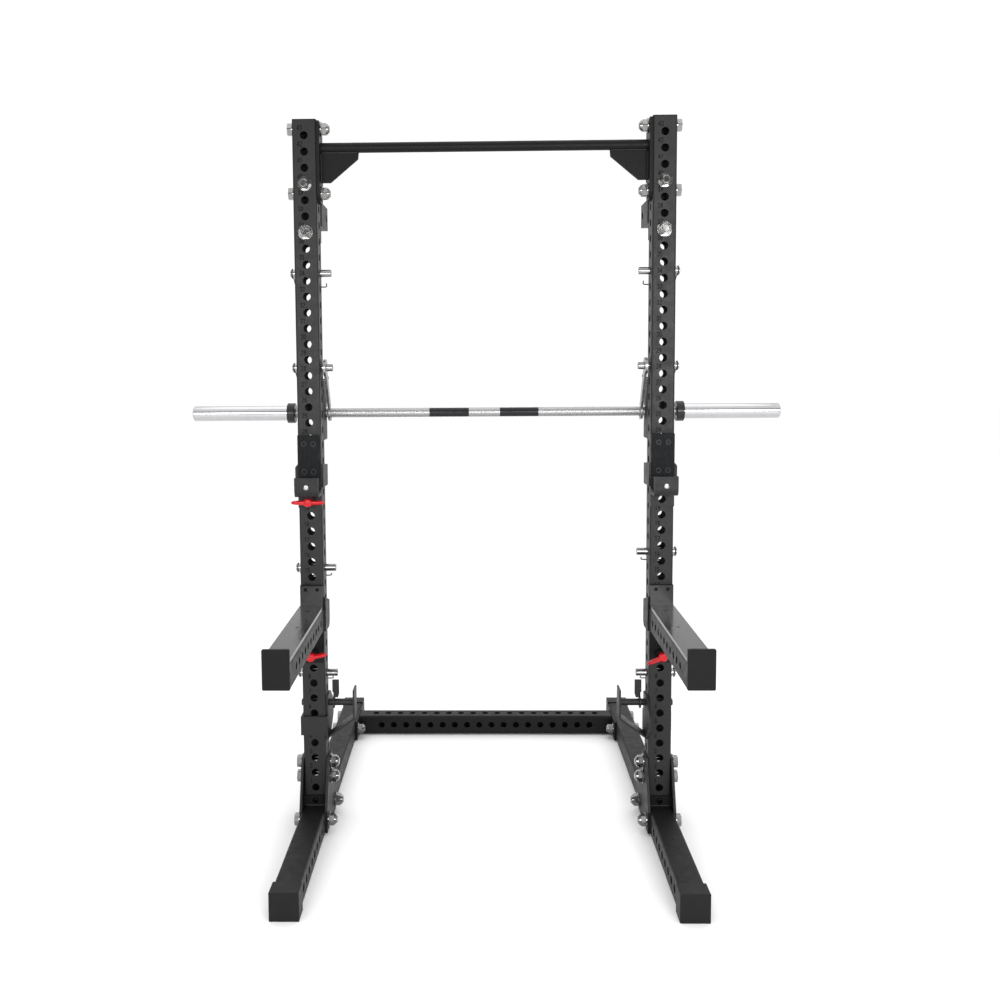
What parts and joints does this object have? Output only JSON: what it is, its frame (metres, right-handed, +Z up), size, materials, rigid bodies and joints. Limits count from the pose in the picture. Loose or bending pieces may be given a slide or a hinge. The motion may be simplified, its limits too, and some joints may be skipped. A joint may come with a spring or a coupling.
{
  "type": "power cage",
  "caption": "Half-depth power cage: two drilled uprights on a low steel base with cups, spotter arms, pull-up bar, lock pins and a stowed barbell.",
  "frame": {"origin": "on the floor, under the middle of the whole object's bounding box", "axes": "+Z up, +X to the lifter's right as seen from the front, +Y from the front of the rack to its back"},
  "size_m": [1.926, 1.694, 2.287],
  "materials": {
    "upright_paint": "fine-textured satin powder coat, dark grey",
    "base_paint": "fine-textured satin powder coat, dark grey",
    "gusset_paint": "fine-textured satin powder coat, dark grey",
    "pull_up_paint": "fine-textured satin powder coat, dark grey",
    "bracket_paint": "fine-textured satin powder coat, dark grey",
    "cup_paint": "fine-textured satin powder coat, dark grey",
    "arm_paint": "fine-textured satin powder coat, dark grey",
    "cradle_paint": "fine-textured satin powder coat, dark grey",
    "cap_plastic": "matt moulded plastic",
    "pad_plastic": "satin machined plastic sheet",
    "arm_pad_plastic": "smooth semi-gloss plastic sheet",
    "bolt_zinc": "bright zinc plate",
    "nut_zinc": "bright zinc plate",
    "screw_steel": "bright zinc plate",
    "pin_steel": "polished plated steel",
    "bail_wire": "drawn spring wire",
    "pull_pin_steel": "turned and plated steel",
    "handle_red": "glossy dipped vinyl",
    "hanger_steel": "zinc-plated flat steel",
    "shaft_steel": "knurled bright steel",
    "sleeve_chrome": "bright chrome",
    "collar_black": "satin black"
  },
  "bodies": {
    "frame": {"base_gussets_left": "gusset_paint", "base_gussets_right": "gusset_paint", "cradle_rods": "cradle_paint", "cup_left": "cup_paint", "cup_liner_left": "pad_plastic", "cup_liner_right": "pad_plastic", "cup_right": "cup_paint", "frame_bolts": "bolt_zinc", "frame_nuts_and_washers": "nut_zinc", "front_leg_left": "base_paint", "front_leg_right": "base_paint", "plastic_end_caps": "cap_plastic", "pull_up_bar": "pull_up_paint", "pull_up_end_plate_left": "pull_up_paint", "pull_up_end_plate_right": "pull_up_paint", "rear_bar_rest_left": "bracket_paint", "rear_bar_rest_right": "bracket_paint", "rear_cross_member": "base_paint", "rear_rail_left": "base_paint", "rear_rail_right": "base_paint", "side_cradle_left": "cradle_paint", "side_cradle_right": "cradle_paint", "small_screws": "screw_steel", "spotter_arm_left": "arm_paint", "spotter_arm_liner_left": "arm_pad_plastic", "spotter_arm_liner_right": "arm_pad_plastic", "spotter_arm_right": "arm_paint", "top_rear_bracket_left": "bracket_paint", "top_rear_bracket_right": "bracket_paint", "upright_left": "upright_paint", "upright_right": "upright_paint"},
    "lock_pin_left_34": {"lock_pin_left_34": "pin_steel"},
    "pin_bail_left_34": {"pin_bail_left_34": "bail_wire"},
    "lock_pin_left_28": {"lock_pin_left_28": "pin_steel"},
    "pin_bail_left_28": {"pin_bail_left_28": "bail_wire"},
    "lock_pin_left_15": {"lock_pin_left_15": "pin_steel"},
    "pin_bail_left_15": {"pin_bail_left_15": "bail_wire"},
    "lock_pin_left_8": {"lock_pin_left_8": "pin_steel"},
    "pin_bail_left_8": {"pin_bail_left_8": "bail_wire"},
    "arm_pull_left": {"arm_pull_pin_left": "pull_pin_steel", "arm_pull_handle_left": "handle_red"},
    "bar_hanger_left": {"bar_hanger_left": "hanger_steel"},
    "lock_pin_right_34": {"lock_pin_right_34": "pin_steel"},
    "pin_bail_right_34": {"pin_bail_right_34": "bail_wire"},
    "lock_pin_right_28": {"lock_pin_right_28": "pin_steel"},
    "pin_bail_right_28": {"pin_bail_right_28": "bail_wire"},
    "lock_pin_right_16": {"lock_pin_right_16": "pin_steel"},
    "pin_bail_right_16": {"pin_bail_right_16": "bail_wire"},
    "lock_pin_right_8": {"lock_pin_right_8": "pin_steel"},
    "pin_bail_right_8": {"pin_bail_right_8": "bail_wire"},
    "arm_pull_right": {"arm_pull_pin_right": "pull_pin_steel", "arm_pull_handle_right": "handle_red"},
    "bar_hanger_right": {"bar_hanger_right": "hanger_steel"},
    "cup_pull": {"cup_pull_pin": "pull_pin_steel", "cup_pull_handle": "handle_red"},
    "bar": {"bar_shaft": "shaft_steel"},
    "bar_sleeve_left": {"bar_sleeve_left": "sleeve_chrome", "bar_collar_left": "collar_black"},
    "bar_sleeve_right": {"bar_sleeve_right": "sleeve_chrome", "bar_collar_right": "collar_black"}
  },
  "joints": [
    {"name": "lock_pin_slide_left_34", "type": "slide", "parent": "frame", "child": "lock_pin_left_34", "axis": [-1, 0, 0], "range_m": [0, 0.11]},
    {"name": "bail_swing_left_34", "type": "hinge", "parent": "lock_pin_left_34", "child": "pin_bail_left_34", "pos_m": [-0.6125, -0.189, 1.812], "axis": [1, 0, 0], "range_deg": [0, 89]},
    {"name": "lock_pin_slide_left_28", "type": "slide", "parent": "frame", "child": "lock_pin_left_28", "axis": [-1, 0, 0], "range_m": [0, 0.11]},
    {"name": "bail_swing_left_28", "type": "hinge", "parent": "lock_pin_left_28", "child": "pin_bail_left_28", "pos_m": [-0.6125, -0.189, 1.512], "axis": [1, 0, 0], "range_deg": [0, 89]},
    {"name": "lock_pin_slide_left_15", "type": "slide", "parent": "frame", "child": "lock_pin_left_15", "axis": [-1, 0, 0], "range_m": [0, 0.11]},
    {"name": "bail_swing_left_15", "type": "hinge", "parent": "lock_pin_left_15", "child": "pin_bail_left_15", "pos_m": [-0.6125, -0.189, 0.862], "axis": [1, 0, 0], "range_deg": [0, 89]},
    {"name": "lock_pin_slide_left_8", "type": "slide", "parent": "frame", "child": "lock_pin_left_8", "axis": [-1, 0, 0], "range_m": [0, 0.11]},
    {"name": "bail_swing_left_8", "type": "hinge", "parent": "lock_pin_left_8", "child": "pin_bail_left_8", "pos_m": [-0.6125, -0.189, 0.512], "axis": [1, 0, 0], "range_deg": [0, 89]},
    {"name": "arm_pull_slide_left", "type": "slide", "parent": "frame", "child": "arm_pull_left", "axis": [0, -1, 0], "range_m": [0, 0.022], "stiffness_N_per_m": 900, "springref_m": -0.012},
    {"name": "hanger_swing_left", "type": "hinge", "parent": "frame", "child": "bar_hanger_left", "pos_m": [-0.513, -0.189, 1.512], "axis": [1, 0, 0], "range_deg": [-80, 0]},
    {"name": "lock_pin_slide_right_34", "type": "slide", "parent": "frame", "child": "lock_pin_right_34", "axis": [1, 0, 0], "range_m": [0, 0.11]},
    {"name": "bail_swing_right_34", "type": "hinge", "parent": "lock_pin_right_34", "child": "pin_bail_right_34", "pos_m": [0.6125, -0.189, 1.812], "axis": [1, 0, 0], "range_deg": [0, 89]},
    {"name": "lock_pin_slide_right_28", "type": "slide", "parent": "frame", "child": "lock_pin_right_28", "axis": [1, 0, 0], "range_m": [0, 0.11]},
    {"name": "bail_swing_right_28", "type": "hinge", "parent": "lock_pin_right_28", "child": "pin_bail_right_28", "pos_m": [0.6125, -0.189, 1.512], "axis": [1, 0, 0], "range_deg": [0, 89]},
    {"name": "lock_pin_slide_right_16", "type": "slide", "parent": "frame", "child": "lock_pin_right_16", "axis": [1, 0, 0], "range_m": [0, 0.11]},
    {"name": "bail_swing_right_16", "type": "hinge", "parent": "lock_pin_right_16", "child": "pin_bail_right_16", "pos_m": [0.6125, -0.189, 0.912], "axis": [1, 0, 0], "range_deg": [0, 89]},
    {"name": "lock_pin_slide_right_8", "type": "slide", "parent": "frame", "child": "lock_pin_right_8", "axis": [1, 0, 0], "range_m": [0, 0.11]},
    {"name": "bail_swing_right_8", "type": "hinge", "parent": "lock_pin_right_8", "child": "pin_bail_right_8", "pos_m": [0.6125, -0.189, 0.512], "axis": [1, 0, 0], "range_deg": [0, 89]},
    {"name": "arm_pull_slide_right", "type": "slide", "parent": "frame", "child": "arm_pull_right", "axis": [0, -1, 0], "range_m": [0, 0.022], "stiffness_N_per_m": 900, "springref_m": -0.012},
    {"name": "hanger_swing_right", "type": "hinge", "parent": "frame", "child": "bar_hanger_right", "pos_m": [0.513, -0.189, 1.512], "axis": [1, 0, 0], "range_deg": [-80, 0]},
    {"name": "cup_pull_slide", "type": "slide", "parent": "frame", "child": "cup_pull", "axis": [0, -1, 0], "range_m": [0, 0.022], "stiffness_N_per_m": 900, "springref_m": -0.012},
    {"name": "bar_turn", "type": "hinge", "parent": "frame", "child": "bar", "pos_m": [0, -0.099, 1.362], "axis": [1, 0, 0], "continuous": true},
    {"name": "sleeve_turn_left", "type": "hinge", "parent": "bar", "child": "bar_sleeve_left", "pos_m": [-0.8, -0.099, 1.362], "axis": [1, 0, 0], "continuous": true},
    {"name": "sleeve_turn_right", "type": "hinge", "parent": "bar", "child": "bar_sleeve_right", "pos_m": [0.8, -0.099, 1.362], "axis": [1, 0, 0], "continuous": true}
  ]
}
